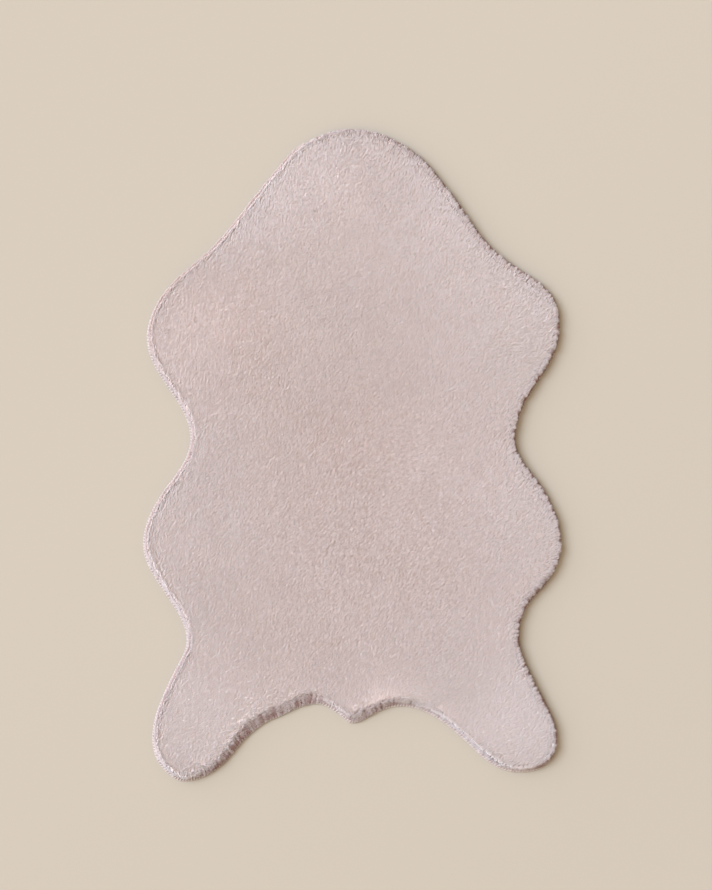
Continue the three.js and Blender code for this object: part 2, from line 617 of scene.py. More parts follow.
@dataclass(frozen=True)
class Clumps:
    """Tufts that belong together, in clumps of about one size.

    Attributes:
        size: The side of the square that has one clump in it.
        seed: Chooses the pattern.
        shift: How far chance moves a clump from the middle of its square, as a share of the size.
    """

    size: float
    seed: int
    shift: float = 0.42

    def of(self, roots: np.ndarray) -> tuple[np.ndarray, np.ndarray]:
        """Finds the clump that each tuft belongs to.

        It is the nearest of those in its own square and the eight round it.

        Args:
            roots: The tufts' places.

        Returns:
            The clump's middle, and a random value from -1 to 1 that its tufts share.
        """
        cell = np.floor(roots / self.size)
        best = np.full(len(roots), np.inf)
        centre = np.zeros_like(roots)
        value = np.zeros(len(roots))
        for step_x in (-1, 0, 1):
            for step_y in (-1, 0, 1):
                column, row = cell[:, 0] + step_x, cell[:, 1] + step_y
                moved_x = lattice_value(column, row, self.seed)
                moved_y = lattice_value(column, row, self.seed + 1)
                shift = self.shift * np.stack([moved_x, moved_y], axis=1)
                middle = (np.stack([column, row], axis=1) + 0.5 + shift) * self.size
                apart = ((roots - middle) ** 2).sum(1)
                nearer = apart < best
                best = np.where(nearer, apart, best)
                centre = np.where(nearer[:, None], middle, centre)
                value = np.where(nearer, lattice_value(column, row, self.seed + 2), value)
        return centre, value


@dataclass(frozen=True)
class Nap:
    """Which way the fur is brushed, over the whole rug.

    The fur leans towards the head and the right. It stands steeper on the left, and is brushed
    further over on the right.

    Attributes:
        middle_heading: The heading at the rug's origin, in degrees from +X.
        turn_across: How much it turns for each metre to the right, in degrees.
        turn_along: How much it turns for each metre towards the head, in degrees.
        wander: How it wanders over the rug, in degrees.
        marks: Where a hand has turned it.
    """

    middle_heading: float = 54.0
    turn_across: float = -14.0
    turn_along: float = 8.0
    wander: Swell = Swell(110 * MM, 9.0, 11)
    marks: tuple[BrushMark, ...] = (
        # x, y, radius, turn, press
        BrushMark(0.082, -0.324, 0.019, -95, 0.08),
        BrushMark(0.108, -0.336, 0.012, 40, 0.10),
        BrushMark(0.030, -0.318, 0.026, 30, 0.06),
        BrushMark(-0.020, 0.330, 0.040, 16, 0.04),
        BrushMark(0.070, -0.010, 0.060, -26, 0.05),
        BrushMark(-0.185, 0.170, 0.050, 20, 0.05),
        BrushMark(0.215, 0.120, 0.040, -18, 0.03),
        BrushMark(-0.060, -0.110, 0.070, -18, 0.04),
    )

    def heading(self, at: np.ndarray) -> np.ndarray:
        """Works out the nap's heading.

        It changes evenly across and along the rug, wanders with a large soft noise, and turns at
        each brush mark by a bell of its radius.

        Args:
            at: Points, one row each.

        Returns:
            The heading at each point, in radians from +X.
        """
        degrees = self.middle_heading + self.turn_across * at[:, 0] + self.turn_along * at[:, 1]
        degrees = degrees + self.wander.over(at)
        degrees = degrees + spread(self.marks, [mark.turn for mark in self.marks], at)
        return np.radians(degrees)

    def press(self, at: np.ndarray) -> np.ndarray:
        """How much lower the fur lies at each point, as a share."""
        return spread(self.marks, [mark.press for mark in self.marks], at)

    def combed(self, at: np.ndarray) -> np.ndarray:
        """Measures points across and along the nap's middle heading.

        Args:
            at: Points, one row each.

        Returns:
            The points' two measures, for patterns that are drawn out along the nap.
        """
        angle = math.radians(self.middle_heading)
        along = at @ np.array([math.cos(angle), math.sin(angle)])
        across = at @ np.array([math.sin(angle), -math.cos(angle)])
        return np.stack([across, along], axis=1)


TONES = (
    # The head, the left shoulder and the waist are duller, and the feet and the sides are paler.
    ToneMark(-0.180, 0.175, 0.100, -0.28),
    ToneMark(0.000, 0.330, 0.110, -0.14),
    ToneMark(-0.020, 0.040, 0.100, -0.07),
    ToneMark(-0.205, -0.355, 0.075, 0.24),
    ToneMark(0.215, -0.355, 0.080, 0.26),
    ToneMark(0.140, -0.270, 0.080, 0.08),
    ToneMark(0.215, 0.150, 0.075, 0.08),
    ToneMark(0.215, -0.080, 0.070, 0.10),
    ToneMark(-0.160, -0.100, 0.090, 0.10),
)

RUFFLES = (
    # Along the left instep and arch.
    Ruffle(-0.196, -0.412, 0.013, 0.7, 0.5),
    Ruffle(-0.165, -0.395, 0.016, 0.5, 0.7),
    Ruffle(-0.135, -0.362, 0.026, 0.85, 0.9),
    Ruffle(-0.092, -0.338, 0.026, 0.75, 0.9),
    Ruffle(-0.056, -0.325, 0.018, 0.8, 0.9),
    # From the tail along the right arch.
    Ruffle(0.010, -0.345, 0.018, 0.8, 0.9),
    Ruffle(0.044, -0.330, 0.020, 0.4, 1.0),
    Ruffle(0.072, -0.329, 0.014, 0.2, 0.8),
    Ruffle(0.106, -0.343, 0.010, 0.3, 0.4),
    # Under the right lower lobe, and on the right side.
    Ruffle(0.240, -0.180, 0.024, 0.05, 1.0),
    Ruffle(0.264, -0.145, 0.024, 0.0, 1.0),
    Ruffle(0.273, -0.105, 0.020, 0.0, 0.7),
    Ruffle(0.272, 0.150, 0.026, 0.1, 0.6),
)


class Finish:
    """What a piece is made of, and how it takes the light.

    Attributes:
        NAME: The material's name.
    """

    NAME: str

    def shading(self, tree: bpy.types.NodeTree) -> dict:
        """Adds the nodes of the finish's own pattern.

        Args:
            tree: The material's node tree.

        Returns:
            What the sockets of its shader take.
        """
        raise NotImplementedError

    def material(self) -> bpy.types.Material:
        """Makes the material, by one shader that takes what the finish gives it.

        Returns:
            The material.
        """
        material = bpy.data.materials.new(self.NAME)
        material.use_nodes = True
        tree = material.node_tree
        tree.nodes.clear()
        shader = add_node(tree, "ShaderNodeBsdfPrincipled", self.shading(tree))
        add_node(tree, "ShaderNodeOutputMaterial", {"Surface": shader.outputs["BSDF"]})
        return material


@dataclass(frozen=True)
class FurFinish(Finish):
    """Modacrylic fibre, crimped and brushed into tufts: soft, matt, and paler towards the tips.

    Light goes from fibre to fibre, so the pile looks soft. The roots' colours are deeper and redder
    than the tips': painted shade deep in the pile. Each tuft has one of a range of tints, which makes
    the pile look mottled.

    Attributes:
        root: The dullest and the brightest tint of the roots, deep with painted shade.
        belly: The dullest and the brightest tint half way up.
        tip: The dullest and the brightest tint of the tips.
        half_way: How far along the fibre the belly's colour is, from 0 to 1.
    """

    NAME = "faux_fur_modacrylic"
    root: tuple[str, str] = ("7a413c", "985e57")
    belly: tuple[str, str] = ("c49f91", "f3dad7")
    tip: tuple[str, str] = ("cea89d", "fee8e2")
    half_way: float = 0.5

    def shading(self, tree: bpy.types.NodeTree) -> dict:
        """Colours each tuft by its UV map: its tint across, and from root to tip along.

        Args:
            tree: The material's node tree.

        Returns:
            What the sockets of its shader take.
        """
        place = add_node(tree, "ShaderNodeUVMap", uv_map=UV_MAP)
        split = add_node(tree, "ShaderNodeSeparateXYZ", {"Vector": place.outputs["UV"]})
        tint, along = split.outputs["X"], split.outputs["Y"]
        root, belly, tip = (
            add_node(
                tree,
                "ShaderNodeMix",
                {SHARE: tint, FIRST: linear(dull), SECOND: linear(bright)},
                data_type="RGBA",
            )
            for dull, bright in (self.root, self.belly, self.tip)
        )
        colour = root
        for start, end, later in ((0.0, self.half_way, belly), (self.half_way, 1.0, tip)):
            share = add_node(
                tree, "ShaderNodeMapRange", {"Value": along, "From Min": start, "From Max": end}
            )
            colour = add_node(
                tree,
                "ShaderNodeMix",
                {
                    SHARE: share.outputs["Result"],
                    FIRST: colour.outputs[MIXED],
                    SECOND: later.outputs[MIXED],
                },
                data_type="RGBA",
            )
        return {
            "Base Color": colour.outputs[MIXED],
            "Roughness": 0.85,
            "Specular IOR Level": 0.2,
            "Subsurface Weight": 0.7,
            "Subsurface Radius": (1.0, 0.8, 0.75),
            "Subsurface Scale": 2.0 * MM,
        }


@dataclass(frozen=True)
class FurBedFinish(Finish):
    """The same fibre seen between the tufts: matted and streaked, and deeper in colour low down.

    Attributes:
        side: The colour of the bed's side, deeper as painted shade low in the pile.
        deep: The deeper tone of its top.
        pale: The paler tone of its top.
        streak: How broad the streaks are.
        stretch: How many times as long as broad they are.
        heading: Which way they run, in degrees from +X.
        low: The height up to which the side's colour goes.
        high: The height from which the top's colour goes.
    """

    NAME = "faux_fur_bed_modacrylic"
    side: str = "bfa69d"
    deep: str = "d8c0b8"
    pale: str = "eadbd6"
    streak: float = 3 * MM
    stretch: float = 4.0
    heading: float = 66.0
    low: float = 6.5 * MM
    high: float = 9.0 * MM

    def shading(self, tree: bpy.types.NodeTree) -> dict:
        """Mixes the top's tones by a noise drawn out along the nap, and the side's by the height.

        Args:
            tree: The material's node tree.

        Returns:
            What the sockets of its shader take.
        """
        place = add_node(tree, "ShaderNodeTexCoord")
        turned = add_node(
            tree,
            "ShaderNodeMapping",
            {
                "Vector": place.outputs["Object"],
                "Rotation": (0.0, 0.0, math.radians(90 - self.heading)),
                "Scale": (1.0, 1 / self.stretch, 1.0),
            },
        )
        noise = add_node(
            tree,
            "ShaderNodeTexNoise",
            {"Vector": turned.outputs["Vector"], "Scale": 1 / self.streak, "Detail": 3.0},
        )
        top = add_node(
            tree,
            "ShaderNodeMix",
            {SHARE: noise.outputs["Fac"], FIRST: linear(self.deep), SECOND: linear(self.pale)},
            data_type="RGBA",
        )
        axes = add_node(tree, "ShaderNodeSeparateXYZ", {"Vector": place.outputs["Object"]})
        rise = add_node(
            tree,
            "ShaderNodeMapRange",
            {"Value": axes.outputs["Z"], "From Min": self.low, "From Max": self.high},
        )
        # Painted shade: the bed's side, low in the pile, takes a deeper colour than its top.
        colour = add_node(
            tree,
            "ShaderNodeMix",
            {SHARE: rise.outputs["Result"], FIRST: linear(self.side), SECOND: top.outputs[MIXED]},
            data_type="RGBA",
        )
        bump = add_node(
            tree,
            "ShaderNodeBump",
            {"Height": noise.outputs["Fac"], "Strength": 0.8, "Distance": 1.0 * MM},
        )
        return {
            "Base Color": colour.outputs[MIXED],
            "Normal": bump.outputs["Normal"],
            "Roughness": 0.95,
            "Specular IOR Level": 0.15,
        }


@dataclass(frozen=True)
class GroundClothFinish(Finish):
    """Warp-knitted polyester ground, back-coated: fine upright wales with a slight shine.

    The real wales and courses are too fine to show, so they are drawn 2π times as coarse: the
    phase of each wave goes on by one radian over a real one.

    Attributes:
        wale: How far apart the real wales are.
        course: How far apart the real courses are.
        valley: The colour between the loops, deeper as painted shade in the knit's hollows.
        ridge: The colour of the loops.
    """

    NAME = "ground_cloth_knitted_polyester"
    wale: float = 1.6 * MM
    course: float = 1.3 * MM
    # Both tones are partly the cloth's own colour and partly painted shade where it shows between the
    # stitches.
    valley: str = "a8938d"
    ridge: str = "c8b5af"

    def shading(self, tree: bpy.types.NodeTree) -> dict:
        """Draws wales across and loops along each, from two waves on the cloth.

        Args:
            tree: The material's node tree.

        Returns:
            What the sockets of its shader take.
        """
        place = add_node(tree, "ShaderNodeTexCoord")
        wales, courses = (
            add_node(
                tree,
                "ShaderNodeTexWave",
                {
                    "Vector": place.outputs["Object"],
                    "Scale": 1 / (pitch * WAVE_PHASE),
                    "Distortion": distortion,
                },
                wave_type="BANDS",
                bands_direction=axis,
            )
            for axis, pitch, distortion in (("X", self.wale, 0.6), ("Y", self.course, 1.2))
        )
        loops = add_node(
            tree,
            "ShaderNodeMath",
            {0: wales.outputs["Fac"], 1: courses.outputs["Fac"]},
            operation="MULTIPLY",
        )
        colour = add_node(
            tree,
            "ShaderNodeMix",
            {SHARE: loops.outputs["Value"], FIRST: linear(self.valley), SECOND: linear(self.ridge)},
            data_type="RGBA",
        )
        bump = add_node(
            tree,
            "ShaderNodeBump",
            {"Height": loops.outputs["Value"], "Strength": 0.6, "Distance": 0.4 * MM},
        )
        return {
            "Base Color": colour.outputs[MIXED],
            "Normal": bump.outputs["Normal"],
            "Roughness": 0.75,
            "Specular IOR Level": 0.3,
        }


@dataclass(frozen=True)
class ThreadFinish(Finish):
    """Textured polyester thread: bright, bulky, and a little uneven along its length.

    Attributes:
        shaded: The duller of its two tones.
        bright: The brighter one.
        bulk: How long its bulky stretches are.
    """

    NAME = "overlock_thread_polyester"
    shaded: str = "c2b5b0"
    bright: str = "e2d8d2"
    bulk: float = 1.5 * MM

    def shading(self, tree: bpy.types.NodeTree) -> dict:
        """Mixes the two tones by a noise of the size of its bulky stretches.

        Args:
            tree: The material's node tree.

        Returns:
            What the sockets of its shader take.
        """
        place = add_node(tree, "ShaderNodeTexCoord")
        noise = add_node(
            tree,
            "ShaderNodeTexNoise",
            {"Vector": place.outputs["Object"], "Scale": 1 / self.bulk, "Detail": 2.0},
        )
        colour = add_node(
            tree,
            "ShaderNodeMix",
            {SHARE: noise.outputs["Fac"], FIRST: linear(self.shaded), SECOND: linear(self.bright)},
            data_type="RGBA",
        )
        return {
            "Base Color": colour.outputs[MIXED],
            "Roughness": 0.6,
            "Specular IOR Level": 0.4,
            "Sheen Weight": 0.15,
        }


@dataclass(frozen=True)
class FloorFinish(Finish):
    """Matt paint on a smooth floor: plain and pale, a shade deeper towards its lower right.

    Attributes:
        near: The colour at its upper left, nearer the light.
        far: The colour at its lower right, deeper as painted shade where the light falls off.
        near_end: How much further right than up the one colour ends, from the rug's origin.
        far_end: How much further right than up the other colour begins.
    """

    NAME = "floor_matt_paint"
    near: str = "ada294"
    far: str = "aa9f91"
    near_end: float = -0.3
    far_end: float = 0.8

    def shading(self, tree: bpy.types.NodeTree) -> dict:
        """Mixes the two colours by how much further right than up a place is.

        Args:
            tree: The material's node tree.

        Returns:
            What the sockets of its shader take.
        """
        place = add_node(tree, "ShaderNodeTexCoord")
        axes = add_node(tree, "ShaderNodeSeparateXYZ", {"Vector": place.outputs["Object"]})
        across = add_node(
            tree,
            "ShaderNodeMath",
            {0: axes.outputs["X"], 1: axes.outputs["Y"]},
            operation="SUBTRACT",
        )
        share = add_node(
            tree,
            "ShaderNodeMapRange",
            {"Value": across.outputs["Value"], "From Min": self.near_end, "From Max": self.far_end},
        )
        # Painted shade: the floor's light falls off a little towards the lower right.
        colour = add_node(
            tree,
            "ShaderNodeMix",
            {SHARE: share.outputs["Result"], FIRST: linear(self.near), SECOND: linear(self.far)},
            data_type="RGBA",
        )
        return {"Base Color": colour.outputs[MIXED], "Roughness": 0.9, "Specular IOR Level": 0.1}


@dataclass
class GroundCloth:
    """The knitted ground that the fur is rooted in: a thin closed sheet, cut to the outline.

    Attributes:
        edge: The rug's edge.
        cut_inset: How far inside the cut edge the sheet's two faces end.
        round_over: How far its rounded rim stands out past them.
        every: One station in so many is used.
        shares: The rings of a face, as shares of the way out from the middle.
    """

    edge: CutEdge
    cut_inset: float = 0.5 * MM
    round_over: float = 0.5 * MM
    every: int = 3
    shares: tuple[float, ...] = (1.0, 0.97, 0.75, 0.5, 0.25)

    def build(self) -> bpy.types.Object:
        """Builds the sheet as rings that go out along the underside and back over the top.

        A ring is the cut edge drawn in towards the middle by a share, at the cloth's bottom or
        top, and one ring at half the height makes the rounded rim.

        Returns:
            The piece.
        """
        cut, facing = self.edge.cut[:: self.every], self.edge.facing[:: self.every]
        rim = cut - facing * self.cut_inset
        outer = cut - facing * (self.cut_inset - self.round_over)
        rings = [level_ring(drawn_in(rim, share), CLOTH_BOTTOM) for share in reversed(self.shares)]
        rings.append(level_ring(outer, (CLOTH_BOTTOM + CLOTH_TOP) / 2))
        rings.extend(level_ring(drawn_in(rim, share), CLOTH_TOP) for share in self.shares)
        return build_shell("ground_cloth", rings)


@dataclass
class FurBed:
    """The matted lower half of the pile, which closes the view between the tufts.

    Attributes:
        edge: The rug's edge.
        ruffles: Where the side of the pile is ruffled.
        every: One station in so many is used.
        draw_back: How far the side draws back where it is ruffled open.
        lean: How much of the rim's lean the bed would have at the top of the pile.
        side: The rings of the side, from the cloth up.
        shares: The rings of the top, as shares of the way out from the middle.
        top: How high the top is.
    """

    edge: CutEdge
    ruffles: tuple[Ruffle, ...]
    every: int = 3
    draw_back: float = 8.0 * MM
    lean: float = 0.4
    side: tuple[tuple[float, float], ...] = (
        # inset, height
        (5.0 * MM, 2.3 * MM),
        (5.2 * MM, 4.5 * MM),
        (6.2 * MM, 6.8 * MM),
        (8.2 * MM, 8.6 * MM),
        (11.5 * MM, 9.4 * MM),
    )
    shares: tuple[float, ...] = (0.93, 0.84, 0.72, 0.6, 0.46, 0.3, 0.14)
    top: float = 9.8 * MM

    def build(self) -> bpy.types.Object:
        """Builds the bed as rings up its side and in over its level top, on a flat underside.

        A ring of the side is the cut edge moved in by its inset, and on with the nap by its height.

        Returns:
            The piece.
        """
        cut, facing = self.edge.cut[:: self.every], self.edge.facing[:: self.every]
        back = (self.draw_back * openness(self.ruffles, cut))[:, None]
        rings = []
        for inset, height in self.side:
            flat = cut - facing * (inset + back) + RIM_LEAN * self.lean * (height / PILE_TOP)
            rings.append(level_ring(flat, height))
        rings.extend(level_ring(drawn_in(flat, share), self.top) for share in self.shares)
        return build_shell("fur_bed", rings)


class Zone(Enum):
    """The stretches of fur, from the feet up to the head."""

    FEET = "feet"
    HIPS = "hips"
    WAIST = "waist"
    SHOULDERS = "shoulders"
    HEAD = "head"


@dataclass
class Tufts:
    """Many tufts at once, one row each.

    Attributes:
        root: Where each comes out of the cloth.
        tip: Where each ends.
        half: Half its width.
        tint: Where its colour lies between dull and bright, from 0 to 1.
        tone: How far along the way from root colour to tip colour its tip is, lower as painted shade.
        base: How far along that way its root is, as a share of its tip's, lower as painted shade.
        calm: How smoothly it lies in the pile, from 0 to 1.
    """

    root: np.ndarray
    tip: np.ndarray
    half: np.ndarray
    tint: np.ndarray
    tone: np.ndarray
    base: np.ndarray
    calm: np.ndarray

    def joined(self, other: "Tufts") -> "Tufts":
        """Puts these tufts and others in order, from the feet of the rug to its head.

        Args:
            other: The other tufts.

        Returns:
            All of them.
        """
        both = [
            np.concatenate([getattr(self, part.name), getattr(other, part.name)])
            for part in fields(self)
        ]
        order = np.argsort(both[0][:, 1], kind="stable")
        return Tufts(*(values[order] for values in both))

    def part(self, chosen: np.ndarray) -> "Tufts":
        """Only the chosen tufts."""
        return Tufts(*(getattr(self, part.name)[chosen] for part in fields(self)))


@dataclass
class Brink:
    """How the side of the pile is where the edge is nearest to many tufts, one row each.

    Attributes:
        place: The point of the cut edge.
        facing: The way that the edge faces.
        opened: How far the side is ruffled open, from 0 to 1.
        dim: How far it hangs over or faces away from the light, from 0 to 1.
        tooth: The middle of the tooth that the side's tufts draw together into there.
        jut: How far that tooth stands out, from -1 to 1.
    """

    place: np.ndarray
    facing: np.ndarray
    opened: np.ndarray
    dim: np.ndarray
    tooth: np.ndarray
    jut: np.ndarray

    @property
    def along(self) -> np.ndarray:
        """The way along the edge."""
        return along_edge(self.facing)

    @property
    def off(self) -> np.ndarray:
        """How far along the edge the tooth's middle is from the place."""
        return ((self.tooth - self.place) * self.along).sum(1)

    @property
    def rough(self) -> np.ndarray:
        """How far the side is opened or dim, from 0 to 1."""
        return np.maximum(self.dim, self.opened)

    @property
    def bare(self) -> np.ndarray:
        """How far it is neither, from 0 to 1."""
        return (1 - self.dim) * (1 - self.opened)

    @property
    def sunlit(self) -> np.ndarray:
        """How squarely it faces the light, from 0 to 1."""
        return np.clip(self.facing @ SUNWARD, 0, 1)


@dataclass
class Growth:
    """What the tufts of the field and those of the side have in common.

    Attributes:
        edge: The rug's edge.
        tones: Where the fur is paler or darker than round it.
        ruffles: Where the side of the pile is ruffled.
        teeth: The teeth that the tufts of the side draw together into.
        knots: The larger knots that ruffled tufts draw together into.
        lip: How far the pile draws back where it is ruffled open.
        sink: How far under the top of the cloth the roots begin.
        tint: The fur's tint in the middle of the rug.
        rim_tint: How much paler it is at the cut edge, as painted light on the rounded rim.
        rim_reach: How far in from the edge that reaches.
        tint_swell: How it changes over the rug.
        tint_range: The least and the greatest tint.
        full_overhang: The overhang from which the side is all dim.
        turned_away: How squarely the side faces away from the light where that starts to dim it.
        turned_span: How much more squarely it does where it is all dim.
    """

    edge: CutEdge
    tones: tuple[ToneMark, ...]
    ruffles: tuple[Ruffle, ...]
    teeth: Clumps = Clumps(3.0 * MM, 61)
    knots: Clumps = Clumps(5.5 * MM, 71)
    lip: float = 10.0 * MM
    sink: float = 0.4 * MM
    tint: float = 0.53
    rim_tint: float = 0.09
    rim_reach: float = 60 * MM
    tint_swell: Swell = Swell(50 * MM, 0.025, 51)
    tint_range: tuple[float, float] = (0.02, 0.98)
    full_overhang: float = 1.2 * MM
    turned_away: float = 0.5
    turned_span: float = 0.4

    def brink(self, station: np.ndarray, place: np.ndarray, at: np.ndarray) -> Brink:
        """Describes the side of the pile that is nearest to some tufts.

        It is dim by the greater of two shares: the overhang's of a full one, and how squarely the
        edge faces away from the light.

        Args:
            station: The number of the nearest station of each tuft.
            place: The nearest point of the cut edge.
            at: Where it is asked how far the pile is ruffled open.

        Returns:
            The side of the pile there.
        """
        facing = self.edge.facing[station]
        over = self.edge.overhang[station] / self.full_overhang
        away = (-facing @ SUNWARD - self.turned_away) / self.turned_span
        dim = np.clip(np.maximum(over, away), 0, 1)
        return Brink(place, facing, openness(self.ruffles, at), dim, *self.teeth.of(place))

    def tints(self, roots: np.ndarray, inset: np.ndarray) -> np.ndarray:
        """Works out the fur's tint over the rug: paler towards the rim and in the marked places.

        Args:
            roots: The roots' places.
            inset: How far inside the cut edge each is.

        Returns:
            One tint for each root.
        """
        # Paler towards the rim: painted light on its rounded edge.
        tint = self.tint + self.rim_tint * fading(inset, self.rim_reach)
        tint = tint + self.tint_swell.over(roots)
        return tint + spread(self.tones, [mark.change for mark in self.tones], roots)

    def rooted(self, roots: np.ndarray) -> np.ndarray:
        """The roots at the height where they begin, just under the top of the cloth."""
        return level_ring(roots, CLOTH_TOP - self.sink)


@dataclass
class Field(Growth):
    """The tufts that cover the rug and lean with the nap.

    A share or a size whose name starts with own is what chance adds to one tuft, as a standard
    deviation. What shared adds is the same for all tufts of a clump. Turns are in radians.
    """

    nap: Nap = Nap()
    clumps: Clumps = Clumps(3.2 * MM, 31)

    # The lattice of roots, and how far chance moves a root, as a share of the spacing.
    spacing: float = 1.5 * MM
    shift: float = 0.36

    # A tuft's height, lean and width.
    height: float = 13.6 * MM
    lean: float = 7.0 * MM
    width: float = 1.1 * MM
    own_width: float = 0.2

    # How the height changes over the rug, along strands of fur, and from tuft to tuft.
    height_swell: Swell = Swell(45 * MM, 0.025, 43)
    height_strand: Swell = Swell((2 * MM, 4 * MM), 0.02, 44)
    own_height: float = 0.03

    # How the lean turns along strands and from tuft to tuft, and more so where it is ruffled open.
    turn_strand: Swell = Swell((2 * MM, 4 * MM), math.radians(6), 41)
    own_turn: float = math.radians(9)
    opened_turn: float = 0.5

    # How the lean's length changes over the rug and from tuft to tuft, how much of it the edge
    # takes away, and how far in from the outermost roots the edge is felt.
    length_swell: Swell = Swell(60 * MM, 0.10, 42)
    own_length: float = 0.08
    edge_length: float = 0.5
    edge_reach: float = 5 * MM

    # How far the fur splays outwards at the edge, and how much less it does on a bare side.
    splay: float = 1.8 * MM
    shared_splay: float = 1.6 * MM
    own_splay: float = 0.9 * MM
    bare_splay: float = 0.8

    # How far in from the cut edge the fur is combed over it.
    comb_reach: float = 15 * MM

    # How far a tip is pulled to the middle of its clump, its tooth and its knot.
    clump_pull: float = 0.15
    tooth_pull: float = 0.85
    knot_pull: float = 0.4

    # How far the pile draws back where it is dim, and how ragged its side is: from tuft to tuft,
    # from tooth to tooth, more so where it is dim or open, and from knot to knot where open.
    dim_back: float = 1.2 * MM
    own_ragged: float = 0.6 * MM
    tooth_ragged: float = 0.4 * MM
    rough_ragged: float = 2.0 * MM
    knot_ragged: float = 5.0 * MM

    # A tip that would pass the side is drawn back by this share of the excess. Where the pile is
    # open, an excess of sunk_reach sinks it by sunk_depth.
    give: float = 0.6
    sunk_reach: float = 5 * MM
    sunk_depth: float = 2.5 * MM

    # The pile lies smoothly, but for a rougher middle and the edge, where the roots' painted shade is
    # deeper.
    rough_middle: Spot = Spot(0.04, -0.09, 0.23)
    rough_middle_loss: float = 1.2
    calm_reach: float = 6 * MM

    # How uneven neighbouring tufts are, and how much more so they are in the middle.
    grain: float = 0.3
    uneven: Spot = Spot(0.0, -0.09, 0.2)
    uneven_grain: float = 1.35

    # Where the side faces the light, its slope is duller as painted shade, and the brow inside it is
    # paler as painted light.
    slope_reach: float = 4 * MM
    slope_tint: float = 0.1
    brow_inset: float = 12 * MM
    brow_reach: float = 8 * MM
    brow_tint: float = 0.12

    # How the tint changes from clump to clump and from tuft to tuft.
    shared_tint: float = 0.02
    own_tint: float = 0.12

    # The tips' tone, and how much deeper it is as painted shade: where a tip is sunk, less so in a knot
    # or tooth that stands out, on the slope that faces the light, and between the teeth of a dim side.
    tip_tone: float = 0.99
    sunk_tone: float = 0.45
    standing_tone: float = 0.20
    slope_tone: float = 0.1
    gap_shade_tone: float = 0.6
    gap_from: float = 0.2

    # The roots' tone as a share of the tips', what a smooth pile adds to it, and how far in a dim
    # or open side takes it away: a lower root tone is painted shade, deepest at such a side.
    base: float = 0.45
    calm_base: float = 0.3
    edge_shade_reach: float = 3 * MM

    def grow(self, draw: np.random.Generator) -> Tufts:
        """Covers the rug with tufts.

        A tip lies a lean and a height from its root. One that would pass the side of the pile is
        drawn back by most of the excess, and hangs as much lower as the side asks. Where the pile
        is ruffled open, its side lies further back, and such tips sink and take a deeper tone of
        painted shade.

        Args:
            draw: The source of random numbers.

        Returns:
            The tufts.
        """
        roots, station, inset = self._roots(draw)
        count = len(roots)
        depth = inset - ROOT_INSET
        place = roots + self.edge.facing[station] * inset[:, None]
        brink = self.brink(station, place, roots)
        centre, shared = self.clumps.of(roots)
        knot, heap = self.knots.of(roots)
        calm = np.clip(1 - self.rough_middle_loss * self.rough_middle.bell(roots), 0, 1)
        calm = calm * (1 - fading(depth, self.calm_reach))
        grain = self.grain + self.uneven_grain * self.uneven.bell(roots)
        toothed = bell(depth, self.edge_reach) * brink.rough

        lean = self._leans(roots, inset, brink, shared, draw)
        lean = lean + (centre - roots) * self.clump_pull
        lean = lean + brink.along * (brink.off * self.tooth_pull * toothed)[:, None]
        lean = lean + (knot - roots) * (self.knot_pull * brink.opened)[:, None]
        height = self._heights(roots, grain, draw)

        reach = (lean * brink.facing).sum(1) - depth
        ragged = (self.tooth_ragged + self.rough_ragged * brink.rough) * brink.jut
        ragged = ragged + self.own_ragged * draw.standard_normal(count)
        ragged = ragged + self.knot_ragged * brink.opened * heap
        back = self.lip * brink.opened + self.dim_back * brink.dim - ragged
        excess = np.maximum(0, reach + back - self.edge.side_out(height, station))
        lean = lean - brink.facing * (self.give * excess)[:, None]
        height = self.edge.side_top(reach - self.give * excess + back, height, station)
        sunk = np.clip(brink.opened * excess / self.sunk_reach, 0, 1)

        root = self.rooted(roots)
        tip = root + np.column_stack([lean, height - self.sunk_depth * sunk])
        half = self.width / 2 * np.exp(self.own_width * draw.standard_normal(count))
        # Painted shade on the slope that faces the light, and painted light on the brow inside it.
        slope = brink.sunlit * bell(depth, self.slope_reach)
        brow = brink.sunlit * bell(inset - self.brow_inset, self.brow_reach)
        tint = self.tints(roots, inset) + self.brow_tint * brow - self.slope_tint * slope
        tint = tint + self.shared_tint * shared + self.own_tint * grain * draw.standard_normal(count)
        # Painted shade between the teeth of a dim side, and on sunk tips and the slope that faces the
        # light.
        gap_shade = brink.dim * (1 - brink.opened) * toothed * np.clip(self.gap_from - brink.jut, 0, 1)
        tone = self.tip_tone - sunk * (self.sunk_tone - self.standing_tone * (heap + brink.jut))
        tone = tone - self.slope_tone * slope - self.gap_shade_tone * gap_shade
        # Painted shade at the roots, deepest next to a dim or open side.
        edge_shade = brink.rough * bell(depth, self.edge_shade_reach)
        base = (self.base + self.calm_base * calm) * (1 - edge_shade)
        return Tufts(root, tip, half, np.clip(tint, *self.tint_range), tone, base, calm)

    def _roots(self, draw: np.random.Generator) -> tuple[np.ndarray, np.ndarray, np.ndarray]:
        """Places the roots on a lattice of triangles, each moved a little by chance.

        Args:
            draw: The source of random numbers.

        Returns:
            The roots, the number of the nearest station, and how far inside the cut edge each is.
        """
        low, high = self.edge.cut.min(axis=0), self.edge.cut.max(axis=0)
        columns = np.arange(low[0], high[0], self.spacing)
        rows = np.arange(low[1], high[1], self.spacing * math.sqrt(0.75))
        x, y = np.meshgrid(columns, rows)
        x = x + (np.arange(len(rows)) % 2)[:, None] * self.spacing / 2
        roots = np.stack([x.ravel(), y.ravel()], axis=1)
        roots = roots + draw.uniform(-self.shift, self.shift, roots.shape) * self.spacing
        station, inset = self.edge.nearest(roots)
        kept = inset > ROOT_INSET
        return roots[kept], station[kept], inset[kept]

